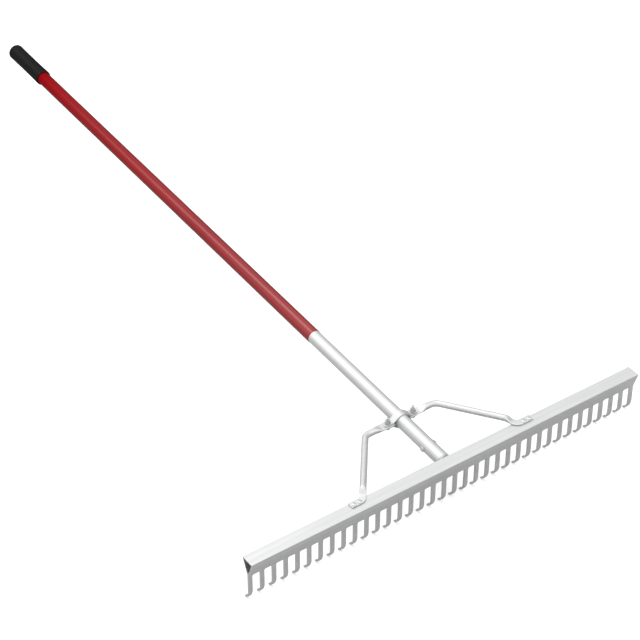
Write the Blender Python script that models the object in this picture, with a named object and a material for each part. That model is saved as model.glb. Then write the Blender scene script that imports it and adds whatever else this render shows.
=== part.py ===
"""Wide aluminium landscape rake: a slotted head extrusion, a sleeved tube handle and two brace arms.

Metres, +Z up. The origin is the middle of the front face of the head's front lip. X runs along the
head, +Y points from the head towards the user, and the tines hang down.
"""
import math

import bmesh
import bpy
from mathutils import Matrix, Vector

# Fits
GAP = 0.0003
SLEEVE_GAP = 0.0002
HOLE_CLEARANCE = 0.0003

# How far cutting shapes pass the piece that they cut
SLOT_CUT_DEPTH = 0.0900
SLOT_CUT_BELOW = 0.0050
TAPER_CUT_OUTSIDE = 0.0020
CAVITY_CUT_EXTRA = 0.0200
HEAD_SIDE_CUT = (0.1200, 0.0900, 0.0500)

# Head extrusion
TINE_COUNT = 36
TINE_PITCH = 0.0259
TINE_WIDTH = 0.0080
TINE_TIP_WIDTH = 0.0050
TINE_THICKNESS = 0.0050
TINE_TIP_THICKNESS = 0.0030
TINE_Y = 0.0130
TINE_STRAIGHT = 0.0400
HOOK_RADIUS = 0.0280
HOOK_ANGLE = math.radians(62)
HOOK_STEPS = 5
FLANGE_DEPTH = 0.0290
LIP_HEIGHT = 0.0030
FLANGE_THICKNESS = 0.0025
WALL = 0.0020
SECTION_HEIGHT = 0.0360
CAVITY_HEIGHT = 0.0290
SLOT_CORNER = 0.0030
SLOT_DROP = 0.0007
TAPER_DROP = 0.0012
TOP_Z = LIP_HEIGHT / 2
ROOT_Z = TOP_Z - SECTION_HEIGHT
HOOK_Z = ROOT_Z - TINE_STRAIGHT
TIP_Z = HOOK_Z - HOOK_RADIUS * math.sin(HOOK_ANGLE)
SLOT_Z = ROOT_Z - SLOT_DROP
TAPER_Z = HOOK_Z - TAPER_DROP
HEAD_LENGTH = (TINE_COUNT - 1) * TINE_PITCH + TINE_WIDTH

# Handle, measured along its axis from the point where the axis meets the head
HANDLE_RISE = math.radians(2.0)
HANDLE_FOOT = Vector((0.0, 0.0231, -0.0117))
TUBE_RADIUS = 0.0143
TUBE_WALL = 0.0016
TUBE_START = 0.0120
TUBE_LENGTH = 1.6520
SLEEVE_START = 0.4375
SLEEVE_THICKNESS = 0.0006
GRIP_START = 1.5320
GRIP_LENGTH = 0.1390
GRIP_RADIUS = 0.0180
GRIP_CROWN_LENGTH = 0.0096
GRIP_CROWN_INSET = 0.0120
GRIP_MOUTH = 0.0012
ROUND_STEPS = 40

# Bracket that carries the tube
PLUG_LENGTH = 0.0750
PLUG_CHAMFER = 0.0015
BOSS_ROOT = -0.0200
PLATE_WIDTH = 0.0920
PLATE_HEIGHT = 0.0260
PLATE_THICKNESS = 0.0040
PLATE_CORNER = 0.0050
PLATE_DROP = 0.0030
BRACKET_RIVETS = (-0.0380, -0.0220, 0.0220, 0.0380)

# Cross rivet through the tube and the plug
CROSS_AT = 0.0580
CROSS_RADIUS = 0.0030
CROSS_HEAD_RADIUS = 0.0060
CROSS_HEAD_HEIGHT = 0.0028
CROSS_HEAD_EDGE = 0.0006
CROSS_DOME = ((0.5, 0.93), (0.8, 0.68))
CROSS_STEPS = 20

# Clamp round the handle
CLAMP_AT = 0.1480
CLAMP_WIDTH = 0.0140
CLAMP_THICKNESS = 0.0030
CLAMP_LEAN = math.radians(50)
CLAMP_REACH = 0.0400
CLAMP_CORNER = 0.0060
CLAMP_BOLT_X = 0.0300
BOLT_RADIUS = 0.0030
BOLT_HEAD_HEIGHT = 0.0040
BOLT_CHAMFER = 0.0005
NUT_HEIGHT = 0.0050
HEX_FLATS = 0.0100
HEX_TRIM_DROP = 0.0011
HEX_TRIM_REACH = 1.3
BOLT_TAIL = 0.0070
WASHER_RADIUS = 0.0065
WASHER_THICKNESS = 0.0012

# Brace arms
ARM_RADIUS = 0.0065
ARM_WALL = 0.0012
ARM_FLAT_WIDTH = 0.0180
ARM_FLAT_THICKNESS = 0.0030
ARM_STEPS = 16
ARM_SQUARENESS = 3.0
ARM_INNER_X = 0.0175
ARM_FLAT_LENGTH = 0.0270
ARM_CRUSH_LENGTH = 0.0180
ARM_CORNER_X = 0.0830
ARM_CORNER_RADIUS = 0.0200
FOOT_CORNER_RADIUS = 0.0120
FOOT_WIDTH = 0.0140
FOOT_Y = TINE_Y + 0.0095
FOOT_RIVET_Y = TINE_Y + 0.0075
FOOT_LEVEL = 0.0200
FOOT_SWEEP_RADIUS = 0.0500
FOOT_FLAT_LENGTH = 0.0080
FOOT_DROP = ARM_RADIUS - ARM_FLAT_THICKNESS / 2

# Feet, by side: -1 is the left one, which lands further out than the right one
FOOT_CORNER_X = {-1: 0.1970, 1: 0.1700}
FOOT_END_X = {-1: 0.2250, 1: 0.2030}
FOOT_RIVETS = {-1: (0.2050, 0.2180), 1: (0.1830, 0.1960)}

# Blind rivets
RIVET_RADIUS = 0.0024
RIVET_BORE = 0.0014
RIVET_HEAD_RADIUS = 0.0048
RIVET_HEAD_HEIGHT = 0.0018
RIVET_HEAD_EDGE = 0.0004
RIVET_DOME = ((0.55, 0.0002), (0.85, 0.0007))
RIVET_BULB_RADIUS = 0.0036
RIVET_BULB_LENGTH = 0.0045
RIVET_BULB_TOP_TAPER = 0.0009
RIVET_BULB_END_TAPER = 0.0012
MANDREL_RADIUS = 0.0011
MANDREL_RECESS = 0.0004
MANDREL_BALL_RADIUS = 0.0021
MANDREL_BALL_LENGTH = 0.0009
MANDREL_BALL_TAPER = 0.0008
RIVET_REACH = 0.0160
RIVET_STEPS = 12
MANDREL_STEPS = 8


# ---------------------------------------------------------------- helpers

def clear_scene():
    for obj in list(bpy.data.objects):
        bpy.data.objects.remove(obj)


def material(name, colour, roughness, metallic):
    mat = bpy.data.materials.get(name) or bpy.data.materials.new(name)
    mat.use_nodes = True
    shader = mat.node_tree.nodes["Principled BSDF"]
    shader.inputs["Base Color"].default_value = (*colour, 1.0)
    shader.inputs["Roughness"].default_value = roughness
    shader.inputs["Metallic"].default_value = metallic
    return mat


def aluminium():
    return material("mill_aluminium", (0.80, 0.81, 0.82), 0.34, 1.0)


def cast_aluminium():
    return material("cast_aluminium", (0.66, 0.67, 0.68), 0.55, 1.0)


def zinc():
    return material("zinc_steel", (0.62, 0.63, 0.64), 0.38, 1.0)


def red_vinyl():
    return material("red_vinyl", (0.42, 0.015, 0.022), 0.42, 0.0)


def black_rubber():
    return material("black_rubber", (0.018, 0.018, 0.019), 0.62, 0.0)


def finish(bm, name, mat, smooth_below=35):
    """Turn a bmesh into a named object with outward faces, one material and soft round shading."""
    bmesh.ops.remove_doubles(bm, verts=bm.verts, dist=1e-7)
    bmesh.ops.recalc_face_normals(bm, faces=bm.faces)
    mesh = bpy.data.meshes.new(name)
    bm.to_mesh(mesh)
    bm.free()
    mesh.shade_smooth()
    mesh.set_sharp_from_angle(angle=math.radians(smooth_below))
    obj = bpy.data.objects.new(name, mesh)
    mesh.materials.append(mat)
    bpy.context.scene.collection.objects.link(obj)
    return obj


def turned(name, profile, mat, steps=ROUND_STEPS, ring=False):
    """Spin a (radius, height) profile about Z. A ring profile is closed and stays off the axis."""
    bm = bmesh.new()
    verts = [bm.verts.new((r, 0.0, z)) for r, z in profile]
    edges = [bm.edges.new(pair) for pair in zip(verts, verts[1:])]
    if ring:
        edges.append(bm.edges.new((verts[-1], verts[0])))
    bmesh.ops.spin(bm, geom=verts + edges, cent=(0, 0, 0), axis=(0, 0, 1),
                   angle=2 * math.pi, steps=steps, use_duplicate=False)
    return finish(bm, name, mat)


def prism(name, outline, depth, mat):
    """Extrude a closed XY outline by depth, centred on Z = 0."""
    bm = bmesh.new()
    face = bm.faces.new([bm.verts.new((x, y, -depth / 2)) for x, y in outline])
    extruded = bmesh.ops.extrude_face_region(bm, geom=[face])
    moved = [v for v in extruded["geom"] if isinstance(v, bmesh.types.BMVert)]
    bmesh.ops.translate(bm, verts=moved, vec=(0, 0, depth))
    return finish(bm, name, mat)


def pipe(name, outer, inner, start, length, mat):
    profile = [(outer, start), (outer, start + length), (inner, start + length), (inner, start)]
    return turned(name, profile, mat, ring=True)


def arc(cx, cy, radius, start, end, steps):
    """Points on a circular arc, from the start angle to the end angle."""
    angles = [start + (end - start) * i / steps for i in range(steps + 1)]
    return [(cx + radius * math.cos(a), cy + radius * math.sin(a)) for a in angles]


def rounded_rectangle(width, height, corner):
    points = []
    for quarter, (sx, sy) in enumerate(((1, 1), (-1, 1), (-1, -1), (1, -1))):
        start = quarter * math.pi / 2
        cx = sx * (width / 2 - corner)
        cy = sy * (height / 2 - corner)
        points += arc(cx, cy, corner, start, start + math.pi / 2, 4)
    return points


def guide(obj):
    """Mark a shape that only cuts or joins another one."""
    obj.hide_render = True
    obj.display_type = "WIRE"
    return obj


def combine(target, tool, operation):
    mod = target.modifiers.new(f"{operation.lower()}_{tool.name}", "BOOLEAN")
    mod.operation = operation
    mod.solver = "EXACT"
    mod.object = guide(tool)


def place(obj, matrix):
    obj.matrix_world = matrix
    return obj


def drill(target, radius, matrices, reach=0.04):
    """Cut round holes through the target, each along the Z axis of its matrix."""
    bm = bmesh.new()
    for matrix in matrices:
        bmesh.ops.create_cone(bm, cap_ends=True, segments=16, radius1=radius, radius2=radius,
                              depth=reach, matrix=matrix)
    combine(target, finish(bm, f"cut_{target.name}", zinc()), "DIFFERENCE")


def ride_on(obj, parent, location=(0, 0, 0)):
    obj.parent = parent
    obj.location = location
    return obj


def frame_matrix(x_axis, z_axis, origin):
    """Matrix with the given X and Z directions and origin."""
    z = z_axis.normalized()
    y = z.cross(x_axis).normalized()
    x = y.cross(z)
    matrix = Matrix((x, y, z)).transposed().to_4x4()
    matrix.translation = origin
    return matrix


# ---------------------------------------------------------------- reference frames

AXIS_X = Vector((1, 0, 0))
AXIS_Z = Vector((0, 0, 1))
HANDLE_DIRECTION = Vector((0, math.cos(HANDLE_RISE), math.sin(HANDLE_RISE)))
HANDLE_NORMAL = Vector((0, -math.sin(HANDLE_RISE), math.cos(HANDLE_RISE)))
HANDLE_FRAME = frame_matrix(AXIS_X, HANDLE_DIRECTION, HANDLE_FOOT)
CLAMP_CENTRE = HANDLE_FOOT + CLAMP_AT * HANDLE_DIRECTION
CROSS_CENTRE = HANDLE_FOOT + CROSS_AT * HANDLE_DIRECTION

REAR_TOP = Vector((0, FLANGE_DEPTH, TOP_Z - LIP_HEIGHT))
REAR_ROOT = Vector((0, TINE_Y + TINE_THICKNESS / 2, ROOT_Z))
WALL_DOWN = (REAR_ROOT - REAR_TOP).normalized()
WALL_NORMAL = AXIS_X.cross(WALL_DOWN)


def empty(name, matrix):
    obj = bpy.data.objects.new(name, None)
    bpy.context.scene.collection.objects.link(obj)
    obj.matrix_world = matrix
    return obj


# ---------------------------------------------------------------- head

def hook_side(offset_root, offset_tip, steps=HOOK_STEPS):
    """One side of the curved tine end, as (y, z) points from the straight part to the tip."""
    points = []
    for i in range(steps + 1):
        share = i / steps
        radius = HOOK_RADIUS + offset_root + (offset_tip - offset_root) * share
        angle = HOOK_ANGLE * share
        y = TINE_Y + HOOK_RADIUS - radius * math.cos(angle)
        points.append((y, HOOK_Z - radius * math.sin(angle)))
    return points


def head_outline():
    """Section of the head as (y, z): flange, tapering hollow part and curved tine."""
    half = TINE_THICKNESS / 2
    tip = TINE_TIP_THICKNESS / 2
    rear = hook_side(-half, -tip)
    front = hook_side(half, tip)
    return [(0.0, TOP_Z), (0.0, TOP_Z - LIP_HEIGHT), (TINE_Y - half, ROOT_Z)] + front + \
        rear[::-1] + [(TINE_Y + half, ROOT_Z), (FLANGE_DEPTH, TOP_Z - LIP_HEIGHT), (FLANGE_DEPTH, TOP_Z)]


def wall_inset(edge_y, root_y, z):
    """Inner face of a sloping wall at height z, as y."""
    fall = SECTION_HEIGHT - LIP_HEIGHT
    lean = (root_y - edge_y) / fall
    inward = math.copysign(WALL * math.sqrt(1 + lean * lean), lean)
    return edge_y + inward + lean * (TOP_Z - LIP_HEIGHT - z)


def cavity_outline():
    """Hollow of the head as (y, z), closed under the flange by the two sloping walls."""
    high = TOP_Z - FLANGE_THICKNESS
    low = TOP_Z - CAVITY_HEIGHT
    half = TINE_THICKNESS / 2
    front = [wall_inset(0.0, TINE_Y - half, z) for z in (high, low)]
    rear = [wall_inset(FLANGE_DEPTH, TINE_Y + half, z) for z in (high, low)]
    return [(front[0], high), (front[1], low), (rear[1], low), (rear[0], high)]


def along_x(obj):
    """Turn a prism so that its outline lies in YZ and its depth along X."""
    return place(obj, Matrix(((0, 0, 1, 0), (1, 0, 0, 0), (0, 1, 0, 0), (0, 0, 0, 1))))


def along_y(obj, x):
    """Turn a prism so that its outline lies in XZ and its depth along Y."""
    return place(obj, Matrix(((1, 0, 0, x), (0, 0, -1, TINE_Y), (0, 1, 0, 0), (0, 0, 0, 1))))


def slot_outline():
    """Gap between two tines as (x, z): round corners above, wider where the tips narrow."""
    half = (TINE_PITCH - TINE_WIDTH) / 2
    wide = (TINE_PITCH - TINE_TIP_WIDTH) / 2
    corner = half - SLOT_CORNER
    right = arc(corner, SLOT_Z - SLOT_CORNER, SLOT_CORNER, 0, math.pi / 2, 3)
    left = arc(-corner, SLOT_Z - SLOT_CORNER, SLOT_CORNER, math.pi / 2, math.pi, 3)
    below = TIP_Z - SLOT_CUT_BELOW
    return right + left + [(-half, TAPER_Z), (-wide, TIP_Z), (-wide, below),
                           (wide, below), (wide, TIP_Z), (half, TAPER_Z)]


def end_taper_outline():
    """Sliver taken off the outer side of an end tine, on +X."""
    narrow = (TINE_WIDTH - TINE_TIP_WIDTH) / 2
    below = TIP_Z - SLOT_CUT_BELOW
    start = TAPER_Z + TAPER_CUT_OUTSIDE * (TAPER_Z - TIP_Z) / narrow
    return [(-narrow, TIP_Z), (-narrow, below), (TAPER_CUT_OUTSIDE, below), (TAPER_CUT_OUTSIDE, start)]


def slot_cutters():
    """All the slots and the two end tapers as one object, in disjoint bodies."""
    bm = bmesh.new()
    shapes = [(slot_outline(), (i - (TINE_COUNT - 2) / 2) * TINE_PITCH, 1) for i in range(TINE_COUNT - 1)]
    shapes += [(end_taper_outline(), side * HEAD_LENGTH / 2, side) for side in (-1, 1)]
    for outline, x, side in shapes:
        verts = [bm.verts.new((x + side * px, TINE_Y - SLOT_CUT_DEPTH / 2, pz)) for px, pz in outline]
        extruded = bmesh.ops.extrude_face_region(bm, geom=[bm.faces.new(verts)])
        moved = [v for v in extruded["geom"] if isinstance(v, bmesh.types.BMVert)]
        bmesh.ops.translate(bm, verts=moved, vec=(0, SLOT_CUT_DEPTH, 0))
    return finish(bm, "cut_slots", zinc())


def rake_head():
    head = along_x(prism("rake_head", head_outline(), HEAD_LENGTH, aluminium()))
    hollow = along_x(prism("cut_cavity", cavity_outline(), HEAD_LENGTH + CAVITY_CUT_EXTRA, zinc()))
    combine(head, hollow, "DIFFERENCE")
    combine(head, slot_cutters(), "DIFFERENCE")
    drill(head, RIVET_RADIUS + HOLE_CLEARANCE, [matrix for matrix, name in rivet_places()], RIVET_REACH)


# ---------------------------------------------------------------- handle

def handle_tube(axis):
    tube = pipe("handle_tube", TUBE_RADIUS, TUBE_RADIUS - TUBE_WALL, 0.0, TUBE_LENGTH, aluminium())
    ride_on(tube, axis, (0, 0, TUBE_START))
    drill(tube, CROSS_RADIUS + HOLE_CLEARANCE, [cross_frame()])


def sleeve_radius():
    return TUBE_RADIUS + SLEEVE_GAP + SLEEVE_THICKNESS


def vinyl_sleeve(axis):
    length = TUBE_START + TUBE_LENGTH - SLEEVE_START
    inner = TUBE_RADIUS + SLEEVE_GAP
    sleeve = pipe("vinyl_sleeve", sleeve_radius(), inner, 0.0, length, red_vinyl())
    ride_on(sleeve, axis, (0, 0, SLEEVE_START))


def end_grip(axis):
    """Rubber cap with a soft mouth and a crowned closed end."""
    bore = sleeve_radius() + GAP
    depth = TUBE_START + TUBE_LENGTH - GRIP_START + GAP
    crown_start = GRIP_LENGTH - GRIP_CROWN_LENGTH
    profile = [(0.0, depth), (bore, depth), (bore, 0.0), (GRIP_RADIUS - GRIP_MOUTH, 0.0),
               (GRIP_RADIUS, GRIP_MOUTH), (GRIP_RADIUS, crown_start)]
    for i in range(1, 6):
        angle = math.pi / 2 * i / 5
        radius = GRIP_RADIUS - GRIP_CROWN_INSET * (1 - math.cos(angle))
        profile.append((radius, crown_start + GRIP_CROWN_LENGTH * math.sin(angle)))
    profile.append((0.0, GRIP_LENGTH))
    grip = turned("end_grip", profile, black_rubber())
    ride_on(grip, axis, (0, 0, GRIP_START))


# ---------------------------------------------------------------- bracket

def wall_frame(x, along):
    """Frame on the rear wall of the head: Z points out of the wall, at a distance down the wall."""
    return frame_matrix(AXIS_X, WALL_NORMAL, REAR_TOP + along * WALL_DOWN + x * AXIS_X)


def handle_bracket():
    """Casting with a riveted plate, a boss against the tube's end and a plug inside the tube."""
    centre = PLATE_DROP + PLATE_HEIGHT / 2
    plate = prism("handle_bracket", rounded_rectangle(PLATE_WIDTH, PLATE_HEIGHT, PLATE_CORNER),
                  PLATE_THICKNESS, cast_aluminium())
    place(plate, wall_frame(0, centre) @ Matrix.Translation((0, 0, GAP + PLATE_THICKNESS / 2)))
    boss_end = TUBE_START - GAP
    plug_radius = TUBE_RADIUS - TUBE_WALL - GAP
    plug_end = boss_end + PLUG_LENGTH
    profile = [(0, BOSS_ROOT), (TUBE_RADIUS, BOSS_ROOT), (TUBE_RADIUS, boss_end), (plug_radius, boss_end),
               (plug_radius, plug_end - PLUG_CHAMFER), (plug_radius - PLUG_CHAMFER, plug_end), (0, plug_end)]
    boss = place(turned("join_boss", profile, cast_aluminium()), HANDLE_FRAME)
    combine(plate, boss, "UNION")
    width, height, depth = HEAD_SIDE_CUT
    block = prism("cut_head_side", rounded_rectangle(width, height, PLATE_CORNER), depth, zinc())
    place(block, wall_frame(0, centre) @ Matrix.Translation((0, 0, GAP - depth / 2)))
    combine(plate, block, "DIFFERENCE")
    drill(plate, CROSS_RADIUS + HOLE_CLEARANCE, [cross_frame()])
    drill(plate, RIVET_RADIUS + HOLE_CLEARANCE, [wall_frame(x, centre) for x in BRACKET_RIVETS], RIVET_REACH)


# ---------------------------------------------------------------- fasteners

def hexagon(flats):
    radius = flats / math.sqrt(3)
    return [(radius * math.cos(i * math.pi / 3), radius * math.sin(i * math.pi / 3)) for i in range(6)]


def hex_body(name, height, matrix):
    """Hexagon centred on the matrix, with its corners turned off at the top end."""
    body = place(prism(name, hexagon(HEX_FLATS), height, zinc()), matrix)
    top = height / 2
    flat = HEX_FLATS / 2
    wide = flat * HEX_TRIM_REACH
    lens = [(0, -height), (wide, -height), (wide, top - HEX_TRIM_DROP), (flat, top), (0, top)]
    combine(body, place(turned(f"trim_{name}", lens, zinc(), steps=24), matrix), "INTERSECT")
    return body


def shank(name, radius, top, bottom):
    profile = [(0, top), (radius, top), (radius, bottom + BOLT_CHAMFER), (radius - BOLT_CHAMFER, bottom),
               (0, bottom)]
    return turned(name, profile, zinc(), steps=16)


def hex_bolt(name, matrix, length):
    """Hex bolt with the underside of its head at Z = 0 and its shank below."""
    head = hex_body(name, BOLT_HEAD_HEIGHT, matrix @ Matrix.Translation((0, 0, BOLT_HEAD_HEIGHT / 2)))
    stem = shank(f"join_{name}", BOLT_RADIUS, BOLT_HEAD_HEIGHT / 2, -length)
    combine(head, place(stem, matrix), "UNION")


def hex_nut(name, matrix):
    """Nut that stands on Z = 0, its rounded end up."""
    nut = hex_body(name, NUT_HEIGHT, matrix @ Matrix.Translation((0, 0, NUT_HEIGHT / 2)))
    drill(nut, BOLT_RADIUS + HOLE_CLEARANCE, [matrix])


def washer(name, matrix):
    """Washer that lies on Z = 0."""
    bore = BOLT_RADIUS + HOLE_CLEARANCE
    profile = [(bore, 0), (WASHER_RADIUS, 0), (WASHER_RADIUS, WASHER_THICKNESS), (bore, WASHER_THICKNESS)]
    place(turned(name, profile, zinc(), steps=24, ring=True), matrix)


def rivet(name, matrix, stack, wall):
    """Set blind rivet: Z = 0 is the wall's outer face, the stack lies above it, the bulb below."""
    seat = stack + GAP
    top = seat + RIVET_HEAD_HEIGHT
    bulb = -wall - GAP
    end = bulb - RIVET_BULB_LENGTH
    profile = [(RIVET_BORE, top)] + [(RIVET_HEAD_RADIUS * share, top - drop) for share, drop in RIVET_DOME]
    profile += [(RIVET_HEAD_RADIUS, seat + RIVET_HEAD_EDGE), (RIVET_HEAD_RADIUS, seat),
                (RIVET_RADIUS, seat), (RIVET_RADIUS, bulb), (RIVET_BULB_RADIUS, bulb - RIVET_BULB_TOP_TAPER),
                (RIVET_BULB_RADIUS, end + RIVET_BULB_END_TAPER), (RIVET_RADIUS, end), (RIVET_BORE, end)]
    place(turned(f"{name}_body", profile, aluminium(), steps=RIVET_STEPS, ring=True), matrix)
    tip = top - MANDREL_RECESS
    ball = end - GAP
    taper = ball - MANDREL_BALL_LENGTH
    foot = taper - MANDREL_BALL_TAPER
    profile = [(0, tip), (MANDREL_RADIUS, tip), (MANDREL_RADIUS, ball), (MANDREL_BALL_RADIUS, ball),
               (MANDREL_BALL_RADIUS, taper), (MANDREL_RADIUS, foot), (0, foot)]
    place(turned(f"{name}_mandrel", profile, zinc(), steps=MANDREL_STEPS), matrix)


def rivet_places():
    """Frames of all the rivets, with their names."""
    centre = PLATE_DROP + PLATE_HEIGHT / 2
    places = [(wall_frame(x, centre), f"bracket_rivet_{i}") for i, x in enumerate(BRACKET_RIVETS, 1)]
    for side, word in ((-1, "left"), (1, "right")):
        for i, x in enumerate(FOOT_RIVETS[side], 1):
            places.append((Matrix.Translation((side * x, FOOT_RIVET_Y, TOP_Z)), f"foot_rivet_{word}_{i}"))
    return places


def rivets():
    for matrix, name in rivet_places():
        if name.startswith("bracket"):
            rivet(name, matrix, GAP + PLATE_THICKNESS, WALL)
        else:
            rivet(name, matrix, GAP + ARM_FLAT_THICKNESS, FLANGE_THICKNESS)


def cross_frame():
    """Frame of the cross rivet: Z points along +X, out of the tube's right side."""
    return frame_matrix(-AXIS_Z, AXIS_X, CROSS_CENTRE)


def cross_rivet():
    """Solid rivet across the tube, with a low domed head at each side."""
    seat = TUBE_RADIUS + GAP
    dome = [(0.0, CROSS_HEAD_HEIGHT)]
    dome += [(CROSS_HEAD_RADIUS * share, CROSS_HEAD_HEIGHT * rise) for share, rise in CROSS_DOME]
    dome += [(CROSS_HEAD_RADIUS, CROSS_HEAD_EDGE), (CROSS_HEAD_RADIUS, 0.0), (CROSS_RADIUS, 0.0)]
    far = [(r, seat + z) for r, z in dome]
    near = [(r, -seat - z) for r, z in dome[::-1]]
    place(turned("cross_rivet", far + near, aluminium(), steps=CROSS_STEPS), cross_frame())


# ---------------------------------------------------------------- clamp

def clamp_outline(side):
    """Half of the clamp in the handle frame's XY plane: a saddle, two sloping shoulders and two ears.

    Side -1 is the upper half, +1 the lower.
    """
    inner = TUBE_RADIUS + GAP
    outer = inner + CLAMP_THICKNESS
    near = ARM_FLAT_THICKNESS / 2 + GAP
    far = near + CLAMP_THICKNESS
    inner_foot = (inner - near * math.sin(CLAMP_LEAN)) / math.cos(CLAMP_LEAN)
    outer_foot = (outer - far * math.sin(CLAMP_LEAN)) / math.cos(CLAMP_LEAN)
    saddle = arc(0, 0, inner, CLAMP_LEAN, math.pi - CLAMP_LEAN, 10)
    back = arc(0, 0, outer, math.pi - CLAMP_LEAN, CLAMP_LEAN, 10)
    points = [(inner_foot, near)] + saddle + [(-inner_foot, near), (-CLAMP_REACH, near), (-CLAMP_REACH, far)]
    points += [(-outer_foot, far)] + back + [(outer_foot, far), (CLAMP_REACH, far), (CLAMP_REACH, near)]
    return [(x, side * y) for x, y in points]


def round_ears(obj):
    """Round the clamp's four free corners as seen from above."""
    bm = bmesh.new()
    bm.from_mesh(obj.data)
    ends = [e for e in bm.edges
            if all(abs(abs(v.co.x) - CLAMP_REACH) < 1e-6 for v in e.verts)
            and abs(e.verts[0].co.z - e.verts[1].co.z) < 1e-6]
    bmesh.ops.bevel(bm, geom=ends, offset=CLAMP_CORNER, segments=4, profile=0.5, affect="EDGES")
    bm.to_mesh(obj.data)
    bm.free()
    obj.data.shade_smooth()
    obj.data.set_sharp_from_angle(angle=math.radians(35))


def clamp_half(name, side, axis):
    half = prism(name, clamp_outline(side), CLAMP_WIDTH, aluminium())
    round_ears(half)
    ride_on(half, axis, (0, 0, CLAMP_AT))
    drill(half, BOLT_RADIUS + HOLE_CLEARANCE, [bolt_frame(x) for x in (-CLAMP_BOLT_X, CLAMP_BOLT_X)])


def bolt_frame(x, height=0.0):
    """Frame of a clamp bolt, at a height over the handle's axis: Z points up, away from the tube's axis."""
    return frame_matrix(AXIS_X, HANDLE_NORMAL, CLAMP_CENTRE + x * AXIS_X + height * HANDLE_NORMAL)


def clamp_fasteners():
    """Bolts with their heads under the clamp, and washers and nuts on top of it."""
    seat = ARM_FLAT_THICKNESS / 2 + GAP + CLAMP_THICKNESS + GAP
    nut_foot = seat + WASHER_THICKNESS + GAP
    length = seat + nut_foot + NUT_HEIGHT + BOLT_TAIL
    flip = Matrix.Rotation(math.pi, 4, "X")
    for x, word in ((-CLAMP_BOLT_X, "left"), (CLAMP_BOLT_X, "right")):
        hex_bolt(f"clamp_bolt_{word}", bolt_frame(x, -seat) @ flip, length)
        washer(f"clamp_washer_{word}", bolt_frame(x, seat))
        hex_nut(f"clamp_nut_{word}", bolt_frame(x, nut_foot))


# ---------------------------------------------------------------- brace arms

def rounded_path(points, radii, steps):
    """Polyline through the points, with each inner corner replaced by an arc of its radius."""
    path = [points[0]]
    for before, corner, after, radius in zip(points, points[1:], points[2:], radii):
        back = (before - corner).normalized()
        ahead = (after - corner).normalized()
        half_turn = (math.pi - back.angle(ahead)) / 2
        setback = radius * math.tan(half_turn)
        centre = corner + (back + ahead).normalized() * (radius / math.cos(half_turn))
        first = (corner + back * setback - centre).normalized()
        last = (corner + ahead * setback - centre).normalized()
        path += [centre + radius * first.slerp(last, i / steps) for i in range(steps + 1)]
    return path + [points[-1]]


def arm_path(side):
    """Centre line of an arm, on +X: clamp, outer corner, level run over the flange, foot."""
    foot_z = TOP_Z + GAP + ARM_RADIUS
    start = CLAMP_CENTRE + ARM_INNER_X * AXIS_X
    corner = CLAMP_CENTRE + ARM_CORNER_X * AXIS_X
    turn = Vector((FOOT_CORNER_X[side], FOOT_Y, foot_z))
    back = Vector((corner.x - turn.x, corner.y - turn.y, 0)).normalized()
    level = turn + FOOT_LEVEL * back
    end = Vector((FOOT_END_X[side], FOOT_Y, foot_z))
    return rounded_path([start, corner, level, turn, end],
                        [ARM_CORNER_RADIUS, FOOT_SWEEP_RADIUS, FOOT_CORNER_RADIUS], 4)


def resample(path, stations):
    """Points at the given distances along a polyline, kept together with its own corner points."""
    lengths = [0.0]
    for a, b in zip(path, path[1:]):
        lengths.append(lengths[-1] + (b - a).length)
    extra = [s for s in stations if min(abs(s - length) for length in lengths) > 0.0008]
    merged = []
    for s in sorted(lengths + extra):
        i = max(k for k in range(len(path) - 1) if lengths[k] <= s + 1e-9)
        share = (s - lengths[i]) / (lengths[i + 1] - lengths[i])
        merged.append((path[i].lerp(path[i + 1], share), s / lengths[-1], s, lengths[-1] - s))
    return merged


def smooth_step(value):
    t = min(max(value, 0.0), 1.0)
    return t * t * (3 - 2 * t)


def arm_section(flatness, wall, flat_width):
    """Section of the arm, from round (0) to crushed flat (1), inset by the wall: (side, up) points."""
    wide = ARM_RADIUS + (flat_width / 2 - ARM_RADIUS) * flatness - wall
    tall = ARM_RADIUS + (ARM_FLAT_THICKNESS / 2 - ARM_RADIUS) * flatness - wall
    power = 2 / (2 + ARM_SQUARENESS * flatness)
    points = []
    for i in range(ARM_STEPS):
        angle = 2 * math.pi * (i + 0.5) / ARM_STEPS
        side = math.copysign(abs(math.cos(angle)) ** power, math.cos(angle))
        up = math.copysign(abs(math.sin(angle)) ** power, math.sin(angle))
        points.append((wide * side, tall * up))
    return points


def arm_points(mirror, foot_crush):
    """Points along an arm, with extra ones where its section changes."""
    path = arm_path(mirror)
    total = sum((b - a).length for a, b in zip(path, path[1:]))
    steps = [ARM_CRUSH_LENGTH * i / 4 for i in range(5)]
    return resample(path, [ARM_FLAT_LENGTH + s for s in steps] + [total - foot_crush - s for s in steps])


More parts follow.
